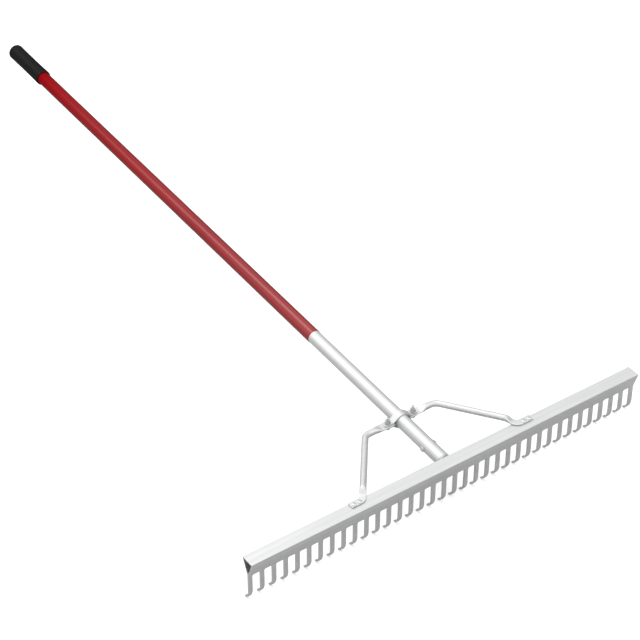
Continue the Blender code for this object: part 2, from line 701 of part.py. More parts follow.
def arm_rings(bm, mirror):
    """Rings of the arm's outer and inner skins, flat at the clamp and flat below at the foot."""
    foot_crush = FOOT_END_X[mirror] - FOOT_CORNER_X[mirror] + FOOT_FLAT_LENGTH
    points = arm_points(mirror, foot_crush)
    skins = {0.0: [], ARM_WALL: []}
    for i, (point, share, done, left) in enumerate(points):
        ahead = points[min(i + 1, len(points) - 1)][0] - points[max(i - 1, 0)][0]
        side = ahead.cross(HANDLE_NORMAL.lerp(AXIS_Z, smooth_step(share))).normalized()
        up = side.cross(ahead).normalized()
        at_clamp = 1 - smooth_step((done - ARM_FLAT_LENGTH) / ARM_CRUSH_LENGTH)
        at_foot = 1 - smooth_step((left - foot_crush) / ARM_CRUSH_LENGTH)
        middle = point - FOOT_DROP * at_foot * up
        flat_width = ARM_FLAT_WIDTH if at_clamp > at_foot else FOOT_WIDTH
        for wall, rings in skins.items():
            shape = arm_section(max(at_clamp, at_foot), wall, flat_width)
            section = [middle + s * side + u * up for s, u in shape]
            rings.append([bm.verts.new((mirror * p.x, p.y, p.z)) for p in section])
    return skins[0.0], skins[ARM_WALL]


def brace_arm(name, mirror):
    """Tube crushed flat at the clamp, and flat along its underside at the foot; mirror is -1 on the left."""
    bm = bmesh.new()
    outer, inner = arm_rings(bm, mirror)
    loops = outer + inner[::-1] + [outer[0]]
    for first, second in zip(loops, loops[1:]):
        for k in range(ARM_STEPS):
            n = (k + 1) % ARM_STEPS
            bm.faces.new((first[k], first[n], second[n], second[k]))
    arm = finish(bm, name, aluminium(), smooth_below=50)
    drill(arm, BOLT_RADIUS + HOLE_CLEARANCE, [bolt_frame(mirror * CLAMP_BOLT_X)])
    places = [Matrix.Translation((mirror * x, FOOT_RIVET_Y, TOP_Z)) for x in FOOT_RIVETS[mirror]]
    drill(arm, RIVET_RADIUS + HOLE_CLEARANCE, places, RIVET_REACH)


def main():
    clear_scene()
    axis = empty("handle_axis", HANDLE_FRAME)
    bpy.context.view_layer.update()
    rake_head()
    handle_bracket()
    handle_tube(axis)
    vinyl_sleeve(axis)
    end_grip(axis)
    cross_rivet()
    clamp_half("clamp_upper", -1, axis)
    clamp_half("clamp_lower", 1, axis)
    clamp_fasteners()
    brace_arm("brace_arm_left", -1)
    brace_arm("brace_arm_right", 1)
    rivets()


main()
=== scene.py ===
"""Looks of the wide aluminium landscape rake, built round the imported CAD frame."""
import math

import bmesh
import bpy
import numpy as np
from mathutils import Matrix, Vector

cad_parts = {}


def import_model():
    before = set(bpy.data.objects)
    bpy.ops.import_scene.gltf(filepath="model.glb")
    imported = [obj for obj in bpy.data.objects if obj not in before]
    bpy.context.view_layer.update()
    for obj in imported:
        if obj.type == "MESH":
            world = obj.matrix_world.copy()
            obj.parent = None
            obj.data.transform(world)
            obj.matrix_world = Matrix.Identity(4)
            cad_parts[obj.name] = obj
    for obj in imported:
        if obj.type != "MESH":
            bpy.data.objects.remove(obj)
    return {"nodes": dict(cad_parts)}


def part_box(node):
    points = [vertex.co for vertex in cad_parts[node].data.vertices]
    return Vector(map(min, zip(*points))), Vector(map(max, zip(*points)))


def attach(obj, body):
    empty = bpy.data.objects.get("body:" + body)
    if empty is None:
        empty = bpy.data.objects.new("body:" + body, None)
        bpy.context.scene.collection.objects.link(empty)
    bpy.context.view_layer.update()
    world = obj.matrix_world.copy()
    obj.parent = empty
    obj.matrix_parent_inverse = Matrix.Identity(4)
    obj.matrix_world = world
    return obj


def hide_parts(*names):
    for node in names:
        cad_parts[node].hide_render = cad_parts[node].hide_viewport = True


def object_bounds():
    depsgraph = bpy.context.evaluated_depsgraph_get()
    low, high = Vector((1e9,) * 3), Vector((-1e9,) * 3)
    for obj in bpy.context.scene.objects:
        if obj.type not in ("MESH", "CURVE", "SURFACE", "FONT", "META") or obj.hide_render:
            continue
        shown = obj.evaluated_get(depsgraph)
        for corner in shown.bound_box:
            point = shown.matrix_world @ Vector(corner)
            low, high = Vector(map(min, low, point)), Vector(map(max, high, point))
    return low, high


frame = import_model()
CAD_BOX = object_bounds()

MM = 0.001
AXIS_X = Vector((1, 0, 0))
AXIS_Z = Vector((0, 0, 1))

# Sizes that the frame doesn't state, in metres.
# Tube, sleeve and grip
TUBE_WALL = 1.6 * MM
TUBE_CHAMFER = 0.3 * MM
SLEEVE_WALL = 0.6 * MM
SLEEVE_LIP = 0.3 * MM
GRIP_LENGTH = 139.0 * MM
GRIP_CLEARANCE = 0.3 * MM
GRIP_MOUTH = 1.2 * MM
GRIP_BODY_START = 6.0 * MM
GRIP_WAIST = 0.5 * MM
GRIP_CROWN_LENGTH = 9.6 * MM
GRIP_CROWN_INSET = 12.0 * MM

# Brace arms; the feet are by side, and -1 is the left one
ARM_WALL = 1.2 * MM
ARM_RADIUS = 6.5 * MM
ARM_FLAT_WIDTH = 18.0 * MM
ARM_FLAT_THICKNESS = 3.0 * MM
ARM_SQUARENESS = 3.0
ARM_CORNER_X = 83.0 * MM
ARM_CORNER_RADIUS = 20.0 * MM
ARM_DIP_RADIUS = 50.0 * MM
FOOT_CORNER_X = {-1: 197.0 * MM, 1: 170.0 * MM}
FOOT_CORNER_RADIUS = 12.0 * MM
FOOT_LEVEL = 20.0 * MM
FOOT_WIDTH = 14.0 * MM
FOOT_SET_BACK = 2.0 * MM
FOOT_FLAT_LENGTH = 8.0 * MM
FOOT_GAP = 0.3 * MM
FOOT_DROP = ARM_RADIUS - ARM_FLAT_THICKNESS / 2
FLAT_AT_CLAMP = 27.0 * MM
CRUSH_LENGTH = 18.0 * MM

# Bolt threads. THREAD_FLANK above 1 widens the crest into a flat
BOLT_RADIUS = 3.0 * MM
BOLT_TIP_SHARE = 0.6
THREAD_PITCH = 1.0 * MM
THREAD_DEPTH = 0.6 * MM
THREAD_LEAD_IN = 0.8 * MM
THREAD_FLANK = 1.6

# Fineness of the meshes
ROUND_STEPS = 96
MOUTH_STEPS = 6
LIP_STEPS = 4
WAIST_STEPS = 24
CROWN_STEPS = 14
BEND_STEPS = 12
ARM_SECTION_STEPS = 40
ARM_STEP = 2.5 * MM
THREAD_STEPS_AROUND = 48
THREAD_STEPS_PER_TURN = 10
SAME_POINT = 2e-6
SAME_FACE = math.radians(0.4)
SOFT_EDGE_FROM = 30
END_BAND = 1.5 * MM
ON_MERIDIAN = 0.004 * MM

# Studio brightness, and the lamps' power in watts
FLOOR_BOUNCE = 0.46
FLOOR_GLOW = 0.24
DOME_LOW = 0.26
DOME_HIGH = 1.09
DOME_RISE = 0.50
DOME_TURN = 0.25
BACKDROP = 0.93
KEY_POWER = 34.0
FRONT_POWER = 18.0

# Camera: its place in metres, and its lens and sensor in millimetres
CAMERA_PLACE = Vector((-1.9280, -2.3077, 2.7823))
CAMERA_AZIMUTH = math.radians(35.06)
CAMERA_DOWN = math.radians(39.04)
CAMERA_LENS = 122.4
CAMERA_SENSOR = 36.0


# ---------------------------------------------------------------- node helpers

class Nodes:
    """Short way to write a material's node tree."""

    def __init__(self, name):
        self.mat = bpy.data.materials.new(name)
        self.mat.use_nodes = True
        self.tree = self.mat.node_tree
        self.shader = self.tree.nodes["Principled BSDF"]
        self.coords = self.tree.nodes.new("ShaderNodeTexCoord").outputs["Object"]

    def put(self, socket, value):
        """Link a node output to a socket, or set the socket to a plain value."""
        if isinstance(value, bpy.types.NodeSocket):
            self.tree.links.new(value, socket)
        else:
            socket.default_value = value

    def stretched(self, scale):
        """Object coordinates scaled per axis; a small scale draws a pattern out along its axis."""
        node = self.tree.nodes.new("ShaderNodeMapping")
        self.put(node.inputs["Vector"], self.coords)
        node.inputs["Scale"].default_value = scale
        return node.outputs["Vector"]

    def noise(self, scale, detail, rough, vector=None):
        """Cloudy pattern, about 0 to 1; a larger scale makes it finer."""
        node = self.tree.nodes.new("ShaderNodeTexNoise")
        self.put(node.inputs["Vector"], vector if vector is not None else self.coords)
        node.inputs["Scale"].default_value = scale
        node.inputs["Detail"].default_value = detail
        node.inputs["Roughness"].default_value = rough
        return node.outputs["Fac"]

    def cells(self, scale):
        """Distance to the nearest of many scattered points."""
        node = self.tree.nodes.new("ShaderNodeTexVoronoi")
        self.put(node.inputs["Vector"], self.coords)
        node.inputs["Scale"].default_value = scale
        return node.outputs["Distance"]

    def remap(self, value, low, high, out_low, out_high):
        """Stretch low..high to out_low..out_high, without going past either end."""
        node = self.tree.nodes.new("ShaderNodeMapRange")
        self.put(node.inputs["Value"], value)
        limits = {"From Min": low, "From Max": high, "To Min": out_low, "To Max": out_high}
        for socket, number in limits.items():
            node.inputs[socket].default_value = number
        return node.outputs["Result"]

    def mix(self, factor, first, second):
        """Blend of two colours: the first at factor 0, the second at 1."""
        node = self.tree.nodes.new("ShaderNodeMix")
        node.data_type = "RGBA"
        self.put(node.inputs[0], factor)
        self.put(node.inputs[6], first)
        self.put(node.inputs[7], second)
        return node.outputs[2]

    def math(self, operation, first, second):
        """One arithmetic step on two values."""
        node = self.tree.nodes.new("ShaderNodeMath")
        node.operation = operation
        self.put(node.inputs[0], first)
        self.put(node.inputs[1], second)
        return node.outputs[0]

    def grazing(self, blend):
        """0 where the surface faces the eye, rising to 1 at its outline."""
        node = self.tree.nodes.new("ShaderNodeLayerWeight")
        node.inputs["Blend"].default_value = blend
        return node.outputs["Facing"]

    def edge_wear(self, radius):
        """About 1 on edges that stick out and 0 on flat stretches."""
        bevel = self.tree.nodes.new("ShaderNodeBevel")
        bevel.samples = 4
        bevel.inputs["Radius"].default_value = radius
        geometry = self.tree.nodes.new("ShaderNodeNewGeometry")
        dot = self.tree.nodes.new("ShaderNodeVectorMath")
        dot.operation = "DOT_PRODUCT"
        self.put(dot.inputs[0], bevel.outputs["Normal"])
        self.put(dot.inputs[1], geometry.outputs["Normal"])
        return self.remap(dot.outputs["Value"], 0.98, 0.80, 0.0, 1.0)

    def bump(self, height, distance, strength, under=None):
        """Relief from a height, laid over the relief under it."""
        node = self.tree.nodes.new("ShaderNodeBump")
        node.inputs["Strength"].default_value = strength
        node.inputs["Distance"].default_value = distance
        self.put(node.inputs["Height"], height)
        if under is not None:
            self.put(node.inputs["Normal"], under)
        return node.outputs["Normal"]

    def finish(self, colour, roughness, metallic, normal=None, **extra):
        """Set the shader's inputs; extra names have underscores where the inputs have spaces."""
        self.put(self.shader.inputs["Base Color"], colour)
        self.put(self.shader.inputs["Roughness"], roughness)
        self.put(self.shader.inputs["Metallic"], metallic)
        if normal is not None:
            self.put(self.shader.inputs["Normal"], normal)
        for name, value in extra.items():
            self.put(self.shader.inputs[name.replace("_", " ")], value)
        return self.mat


def grey(level, tint=0.0):
    """Opaque grey, bluer by the tint."""
    return (level - tint, level, level + tint, 1.0)


# ---------------------------------------------------------------- materials

def extruded_aluminium(name, scale, lines=1.0, dull=0.0):
    """Mill-finish aluminium with die lines; scale is small along the direction of extrusion."""
    n = Nodes(name)
    along = n.stretched(scale)
    die = n.noise(900.0, 3.0, 0.6, along)
    broad = n.noise(160.0, 3.0, 0.5, along)
    cloud = n.noise(9.0, 5.0, 0.6)
    fine = n.noise(2600.0, 2.0, 0.5)
    worn = n.edge_wear(0.8 * MM)
    streaks = n.remap(n.math("ADD", die, broad), 0.75, 1.3, 0.0, 1.0)
    base = n.mix(streaks, grey(0.70, 0.004), grey(0.82, 0.003))
    base = n.mix(n.remap(cloud, 0.35, 0.75, 0.0, 0.35), base, grey(0.66, 0.002))
    base = n.mix(n.math("MULTIPLY", worn, 0.6), base, grey(0.90))
    rough = n.math("ADD", n.remap(streaks, 0.0, 1.0, 0.30 + dull, 0.42 + dull),
                   n.remap(cloud, 0.3, 0.8, -0.02, 0.08))
    normal = n.bump(n.math("ADD", n.math("MULTIPLY", die, 0.6), n.math("MULTIPLY", fine, 0.3)),
                    0.06 * MM, 0.35 * lines)
    return n.finish(base, rough, 1.0, normal)


def cast_aluminium():
    """Cast surface: darker and rougher than the extrusions, with fine grain and pits."""
    n = Nodes("cast_aluminium_grain")
    grain = n.noise(1400.0, 4.0, 0.65)
    cloud = n.noise(45.0, 4.0, 0.6)
    pits = n.remap(n.cells(700.0), 0.0, 0.25, 0.0, 1.0)
    worn = n.edge_wear(0.7 * MM)
    base = n.mix(n.remap(cloud, 0.3, 0.7, 0.0, 1.0), grey(0.50, 0.003), grey(0.62, 0.003))
    base = n.mix(n.math("MULTIPLY", worn, 0.5), base, grey(0.80))
    rough = n.remap(grain, 0.3, 0.7, 0.48, 0.66)
    normal = n.bump(grain, 0.10 * MM, 0.6, n.bump(pits, 0.05 * MM, 0.4))
    return n.finish(base, rough, 1.0, normal)


def zinc_steel():
    """Plated fasteners: faint crystal pattern, a few dull patches and bright edges."""
    n = Nodes("zinc_plated_steel")
    spangle = n.cells(520.0)
    cloud = n.noise(130.0, 4.0, 0.6)
    worn = n.edge_wear(0.4 * MM)
    base = n.mix(n.remap(spangle, 0.1, 0.6, 0.0, 1.0), (0.47, 0.49, 0.53, 1), (0.60, 0.61, 0.62, 1))
    base = n.mix(n.remap(cloud, 0.5, 0.75, 0.0, 0.5), base, (0.42, 0.41, 0.38, 1))
    base = n.mix(n.math("MULTIPLY", worn, 0.6), base, grey(0.78))
    rough = n.remap(cloud, 0.3, 0.7, 0.26, 0.42)
    normal = n.bump(n.noise(1800.0, 3.0, 0.6), 0.03 * MM, 0.4)
    return n.finish(base, rough, 1.0, normal)


def red_vinyl():
    """Semi-gloss vinyl drawn over the tube: faint lengthwise lines, soft mottling and light scuffs, with
    painted shade at its outline and towards the grip.
    """
    n = Nodes("red_vinyl_sleeve")
    lines = n.noise(420.0, 3.0, 0.6, n.stretched((1.0, 1.0, 0.03)))
    peel = n.noise(750.0, 3.0, 0.5)
    cloud = n.noise(14.0, 5.0, 0.6, n.stretched((1.0, 1.0, 0.25)))
    scuff = n.remap(n.noise(90.0, 6.0, 0.75, n.stretched((1.0, 1.0, 0.15))), 0.62, 0.72, 0.0, 1.0)
    base = n.mix(n.remap(cloud, 0.3, 0.7, 0.0, 1.0), (0.31, 0.002, 0.005, 1), (0.39, 0.004, 0.009, 1))
    base = n.mix(n.math("MULTIPLY", scuff, 0.16), base, (0.55, 0.12, 0.11, 1))
    # Painted shade: the red darkens towards the outline, where the tube turns away from the eye.
    base = n.mix(n.math("MULTIPLY", n.grazing(0.5), 0.90), base, (0.13, 0.002, 0.003, 1))
    # Painted shade of the light falling off up the handle: the red darkens towards the grip and its gloss
    # fades there.
    split = n.tree.nodes.new("ShaderNodeSeparateXYZ")
    n.put(split.inputs[0], n.coords)
    painted_shade_to_grip = n.remap(split.outputs["Z"], 0.0, 1.1, 0.0, 1.0)
    base = n.mix(n.math("MULTIPLY", painted_shade_to_grip, 0.25), base, (0.20, 0.002, 0.004, 1))
    rough = n.math("ADD", n.remap(cloud, 0.3, 0.7, 0.22, 0.29), n.math("MULTIPLY", scuff, 0.12))
    gloss = n.remap(painted_shade_to_grip, 0.0, 1.0, 0.72, 0.0)
    normal = n.bump(lines, 0.05 * MM, 0.35, n.bump(peel, 0.04 * MM, 0.35))
    return n.finish(base, rough, 0.0, normal, Specular_IOR_Level=gloss)


def black_rubber():
    """Moulded rubber: fine leathery grain, slightly greyer where hands and edges rub."""
    n = Nodes("black_rubber_grip")
    grain = n.cells(900.0)
    fine = n.noise(2200.0, 3.0, 0.6)
    cloud = n.noise(40.0, 4.0, 0.6)
    worn = n.edge_wear(1.2 * MM)
    base = n.mix(n.remap(cloud, 0.3, 0.7, 0.0, 1.0), grey(0.002), grey(0.005))
    base = n.mix(n.math("MULTIPLY", worn, 0.5), base, grey(0.05))
    rough = n.remap(cloud, 0.3, 0.7, 0.36, 0.46)
    # Painted shade: the reflection is cut back towards the outline, so the grip's edges read darker.
    sheen = n.remap(n.grazing(0.5), 0.05, 0.75, 0.18, 0.01)
    normal = n.bump(grain, 0.12 * MM, 0.45, n.bump(fine, 0.04 * MM, 0.4))
    return n.finish(base, rough, 0.0, normal, Specular_IOR_Level=sheen)


# ---------------------------------------------------------------- mesh helpers

def wear(obj, mat):
    """Give a piece its material and its place on the frame."""
    obj.data.materials.clear()
    obj.data.materials.append(mat)
    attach(obj, "root")
    return obj


def make(bm, name, matrix=Matrix(), sharp=35):
    """Turn a bmesh into an object with outward faces and soft round shading."""
    bmesh.ops.remove_doubles(bm, verts=bm.verts, dist=1e-7)
    bmesh.ops.recalc_face_normals(bm, faces=bm.faces)
    mesh = bpy.data.meshes.new(name)
    bm.to_mesh(mesh)
    bm.free()
    mesh.shade_smooth()
    mesh.set_sharp_from_angle(angle=math.radians(sharp))
    obj = bpy.data.objects.new(name, mesh)
    bpy.context.scene.collection.objects.link(obj)
    obj.matrix_world = matrix
    return obj


def tube_of_rings(bm, rings):
    """Faces between each ring of vertices and the next."""
    for first, second in zip(rings, rings[1:]):
        for k in range(len(first)):
            n = (k + 1) % len(first)
            bm.faces.new((first[k], first[n], second[n], second[k]))


def turned(name, profile, matrix, ring=False):
    """Spin a (radius, height) profile about the matrix's Z axis; a ring's profile closes on itself."""
    bm = bmesh.new()
    turns = [2 * math.pi * i / ROUND_STEPS for i in range(ROUND_STEPS)]
    circles = [[bm.verts.new((r * math.cos(turn), r * math.sin(turn), z)) for turn in turns]
               for r, z in profile]
    tube_of_rings(bm, circles + circles[:1] if ring else circles)
    return make(bm, name, matrix)


def arc(cx, cy, radius, start, end, steps):
    """Points along an arc from one angle to another."""
    angles = [start + (end - start) * i / steps for i in range(steps + 1)]
    return [(cx + radius * math.cos(a), cy + radius * math.sin(a)) for a in angles]


def soften(piece, width, segments):
    """Round a piece's edges off by the width."""
    bevel = piece.modifiers.new("soft_edges", "BEVEL")
    bevel.width = width
    bevel.segments = segments
    bevel.limit_method = "ANGLE"
    bevel.angle_limit = math.radians(SOFT_EDGE_FROM)
    bevel.harden_normals = True


def cad_mesh(node):
    """A CAD node's mesh as a bmesh, with the vertices that its facets share joined."""
    bm = bmesh.new()
    bm.from_mesh(frame["nodes"][node].data)
    bmesh.ops.remove_doubles(bm, verts=bm.verts, dist=SAME_POINT)
    return bm


def refined(node, width):
    """Copy of a CAD node with its facets merged, its flat faces whole and its edges softened."""
    bm = cad_mesh(node)
    bmesh.ops.dissolve_limit(bm, angle_limit=SAME_FACE, verts=bm.verts, edges=bm.edges)
    piece = make(bm, f"{node}_finish", sharp=SOFT_EDGE_FROM)
    soften(piece, width, 2)
    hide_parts(node)
    return piece


def spin_axis(bm):
    """Centre and axis of a round body, from the most symmetrical of its three main directions."""
    points = np.array([v.co for v in bm.verts])
    centre = points.mean(axis=0)
    spread, directions = np.linalg.eigh(np.cov((points - centre).T))
    odd = 2 if spread[2] - spread[1] > spread[1] - spread[0] else 0
    axis = Vector(directions[:, odd])
    lead = max(axis, key=abs)
    return Vector(centre), axis if lead > 0 else -axis


def meridian(bm, centre, axis):
    """Profile of a round body as (radius, height) points in order, and whether it closes on itself."""
    flat = {v: (v.co - centre) - (v.co - centre).dot(axis) * axis for v in bm.verts}
    widest = max(bm.verts, key=lambda v: flat[v].length)
    ray = flat[widest].normalized()
    line = {v for v, out in flat.items()
            if (out - out.dot(ray) * ray).length < ON_MERIDIAN and out.dot(ray) > -ON_MERIDIAN}
    near = {v: [e.other_vert(v) for e in v.link_edges if e.other_vert(v) in line] for v in line}
    ends = [v for v in line if len(near[v]) == 1]
    path = [max(ends, key=lambda v: v.co.dot(axis)) if ends else widest]
    while any(v not in path for v in near[path[-1]]):
        path.append(next(v for v in near[path[-1]] if v not in path))
    profile = [(flat[v].length, (v.co - centre).dot(axis)) for v in path]
    if not ends:
        return profile, True
    caps = [[(0.0, height)] if radius > ON_MERIDIAN else [] for radius, height in (profile[0], profile[-1])]
    return caps[0] + profile + caps[1], False


def frame_at(place, x, y, z):
    """Matrix at a place, from its three axes."""
    matrix = Matrix((x, y, z)).transposed().to_4x4()
    matrix.translation = place
    return matrix


def round_piece(node, width, mat):
    """Smooth version of a round CAD node, spun from its own profile."""
    bm = cad_mesh(node)
    centre, axis = spin_axis(bm)
    profile, ring = meridian(bm, centre, axis)
    bm.free()
    sideways = axis.orthogonal().normalized()
    matrix = frame_at(centre, sideways, axis.cross(sideways), axis)
    piece = turned(f"{node}_finish", profile, matrix, ring=ring)
    soften(piece, width, 3)
    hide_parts(node)
    wear(piece, mat)


def reach_along(node, centre, axis):
    """How far a node's mesh reaches past the centre along the axis."""
    return max((v.co - centre).dot(axis) for v in frame["nodes"][node].data.vertices)


def thread_radius(z, turn, end):
    """Radius of the thread at a height and a share of a turn, with a chamfer before its far end."""
    phase = (z / THREAD_PITCH - turn) % 1.0
    crest = min(1.0, THREAD_FLANK * abs(2 * phase - 1))
    lead_in = max(0.0, z - (end - THREAD_LEAD_IN))
    return min(BOLT_RADIUS - THREAD_DEPTH * (1 - crest), BOLT_RADIUS - lead_in)


def thread(name, matrix, start, end):
    """Outside thread about the matrix's Z axis: a rod whose radius follows a helix."""
    count = round((end - start) / THREAD_PITCH * THREAD_STEPS_PER_TURN)
    bm = bmesh.new()
    rings = []
    for j in range(count + 1):
        z = start + (end - start) * j / count
        ring = []
        for k in range(THREAD_STEPS_AROUND):
            radius = thread_radius(z, k / THREAD_STEPS_AROUND, end)
            angle = 2 * math.pi * k / THREAD_STEPS_AROUND
            ring.append(bm.verts.new((radius * math.cos(angle), radius * math.sin(angle), z)))
        rings.append(ring)
    tube_of_rings(bm, rings)
    bm.faces.new(rings[0][::-1])
    bm.faces.new(rings[-1])
    return make(bm, name, matrix, sharp=50)


def clamp_bolt(word, mat):
    """Bolt whose end above the nut carries a thread; the plain shank tapers away inside it."""
    bm = bmesh.new()
    bm.from_mesh(frame["nodes"][f"clamp_washer_{word}"].data)
    centre, axis = spin_axis(bm)
    bm.free()
    end = reach_along(f"clamp_bolt_{word}", centre, axis)
    start = reach_along(f"clamp_nut_{word}", centre, axis) - 2 * THREAD_PITCH
    piece = refined(f"clamp_bolt_{word}", 0.25 * MM)
    for v in piece.data.vertices:
        along = (v.co - centre).dot(axis)
        if along > end - BOLT_RADIUS:
            sideways = v.co - centre - along * axis
            v.co = centre + (along - THREAD_PITCH) * axis + BOLT_TIP_SHARE * sideways
    wear(piece, mat)
    matrix = frame_at(centre, AXIS_X, axis.cross(AXIS_X), axis)
    wear(thread(f"clamp_bolt_{word}_thread", matrix, start, end), mat)


def ring_centres(node):
    """Centres of a round node's two ends, taken from the vertices next to its two Y limits."""
    low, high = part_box(node)
    points = [v.co for v in frame["nodes"][node].data.vertices]
    near = [p for p in points if p.y < low.y + END_BAND]
    far = [p for p in points if p.y > high.y - END_BAND]
    return sum(near, Vector()) / len(near), sum(far, Vector()) / len(far)


def axis_frame(start, end):
    """Matrix at start with its Z axis towards end and its X axis along the head."""
    z = (end - start).normalized()
    y = z.cross(AXIS_X).normalized()
    return frame_at(start, y.cross(z), y, z)


# ---------------------------------------------------------------- handle

def handle_pieces(tube_mat, vinyl, rubber):
    """Tube and sleeve, turned fine over the CAD ones, and the grip on their end."""
    start, end = ring_centres("handle_tube")
    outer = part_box("handle_tube")[1].x
    inner = outer - TUBE_WALL
    length = (end - start).length
    profile = [(outer - TUBE_CHAMFER, 0), (outer, TUBE_CHAMFER), (outer, length), (inner, length), (inner, 0)]
    tube = turned("handle_tube_finish", profile, axis_frame(start, end), ring=True)
    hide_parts("handle_tube")
    wear(tube, tube_mat)

    start, end = ring_centres("vinyl_sleeve")
    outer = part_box("vinyl_sleeve")[1].x
    inner = outer - SLEEVE_WALL
    length = (end - start).length
    lip = arc(outer - SLEEVE_LIP, SLEEVE_LIP, SLEEVE_LIP, 1.5 * math.pi, 2 * math.pi, LIP_STEPS)
    sleeve = turned("vinyl_sleeve_finish", lip + [(outer, length), (inner, length), (inner, 0)],
                    axis_frame(start, end), ring=True)
    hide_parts("vinyl_sleeve")
    wear(sleeve, vinyl)
    grip_piece(axis_frame(start, end), start, outer, rubber)


def grip_outside(radius, first, last):
    """The grip's outer profile: a rolled mouth, a slightly waisted body and a crowned end."""
    mouth = arc(radius - GRIP_MOUTH, first + GRIP_MOUTH, GRIP_MOUTH, 1.5 * math.pi, 2 * math.pi, MOUTH_STEPS)
    body_start = first + GRIP_BODY_START
    body_length = last - GRIP_CROWN_LENGTH - body_start
    shares = [i / WAIST_STEPS for i in range(WAIST_STEPS + 1)]
    body = [(radius - GRIP_WAIST * math.sin(math.pi * share), body_start + body_length * share)
            for share in shares]
    angles = [math.pi / 2 * i / CROWN_STEPS for i in range(1, CROWN_STEPS + 1)]
    crown = [(radius - GRIP_CROWN_INSET * (1 - math.cos(angle)),
              last - GRIP_CROWN_LENGTH + GRIP_CROWN_LENGTH * math.sin(angle)) for angle in angles]
    return mouth + body + crown


def grip_piece(sleeve_frame, sleeve_start, sleeve_radius, rubber):
    """End grip, bored to slip over the sleeve and stopped just past the tube's end."""
    low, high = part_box("end_grip")
    radius = high.x
    along = sleeve_frame.col[2].xyz
    lean = math.hypot(along.x, along.z)
    first = (low.y + radius * lean - sleeve_start.y) / along.y
    tube_end = ring_centres("handle_tube")[1]
    bore_end = (tube_end - sleeve_start).dot(along) + GRIP_CLEARANCE
    last = first + GRIP_LENGTH
    bore = sleeve_radius + GRIP_CLEARANCE
    profile = [(bore, bore_end), (bore, first)] + grip_outside(radius, first, last)
    profile += [(0, last), (0, bore_end), (bore, bore_end)]
    grip = turned("end_grip_finish", profile, sleeve_frame)
    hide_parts("end_grip")
    wear(grip, rubber)


# ---------------------------------------------------------------- brace arms

def rounded_path(points, radii, steps):
    """Polyline through the points, with each inner corner replaced by an arc of its radius."""
    path = [points[0]]
    for before, corner, after, radius in zip(points, points[1:], points[2:], radii):
        back = (before - corner).normalized()
        ahead = (after - corner).normalized()
        half_turn = (math.pi - back.angle(ahead)) / 2
        setback = radius * math.tan(half_turn)
        centre = corner + (back + ahead).normalized() * (radius / math.cos(half_turn))
        first = (corner + back * setback - centre).normalized()
        last = (corner + ahead * setback - centre).normalized()
        path += [centre + radius * first.slerp(last, i / steps) for i in range(steps + 1)]
    return path + [points[-1]]


def evenly(path, step):
    """Points along a polyline, a fixed step apart, each with its distance from the start."""
    placed = [(path[0].copy(), 0.0)]
    done = 0.0
    for a, b in zip(path, path[1:]):
        length = (b - a).length
        count = max(1, round(length / step))
        placed += [(a.lerp(b, i / count), done + length * i / count) for i in range(1, count + 1)]
        done += length
    return placed


def smooth_step(value):
    """0 up to 0, 1 from 1 on, and an even S between."""
    t = min(max(value, 0.0), 1.0)
    return t * t * (3 - 2 * t)


def arm_section(flatness, wall, flat_width):
    """Points round the arm's section, a wall further in: a circle at flatness 0, a flat oblong at 1."""
    wide = ARM_RADIUS + (flat_width / 2 - ARM_RADIUS) * flatness - wall
    tall = ARM_RADIUS + (ARM_FLAT_THICKNESS / 2 - ARM_RADIUS) * flatness - wall
    power = 2 / (2 + ARM_SQUARENESS * flatness)
    points = []
    for i in range(ARM_SECTION_STEPS):
        angle = 2 * math.pi * (i + 0.5) / ARM_SECTION_STEPS
        side = math.copysign(abs(math.cos(angle)) ** power, math.cos(angle))
        up = math.copysign(abs(math.sin(angle)) ** power, math.sin(angle))
        points.append((wide * side, tall * up))
    return points


def arm_path(inner_x, end_x, mirror):
    """Centre line of a brace arm, drawn on the right: out from the clamp, down to the flange, along it."""
    upper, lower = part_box("clamp_upper"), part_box("clamp_lower")
    clamp = (upper[0] + upper[1] + lower[0] + lower[1]) / 4
    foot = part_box("foot_rivet_right_1_body")
    foot_y = (foot[0].y + foot[1].y) / 2 + FOOT_SET_BACK
    foot_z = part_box("rake_head")[1].z + FOOT_GAP + ARM_RADIUS
    start = Vector((inner_x, clamp.y, clamp.z))
    corner = Vector((ARM_CORNER_X, clamp.y, clamp.z))
    turn = Vector((FOOT_CORNER_X[mirror], foot_y, foot_z))
    back = Vector((corner.x - turn.x, corner.y - turn.y, 0)).normalized()
    level = turn + FOOT_LEVEL * back
    end = Vector((end_x, foot_y, foot_z))
    radii = [ARM_CORNER_RADIUS, ARM_DIP_RADIUS, FOOT_CORNER_RADIUS]
    return evenly(rounded_path([start, corner, level, turn, end], radii, BEND_STEPS), ARM_STEP)


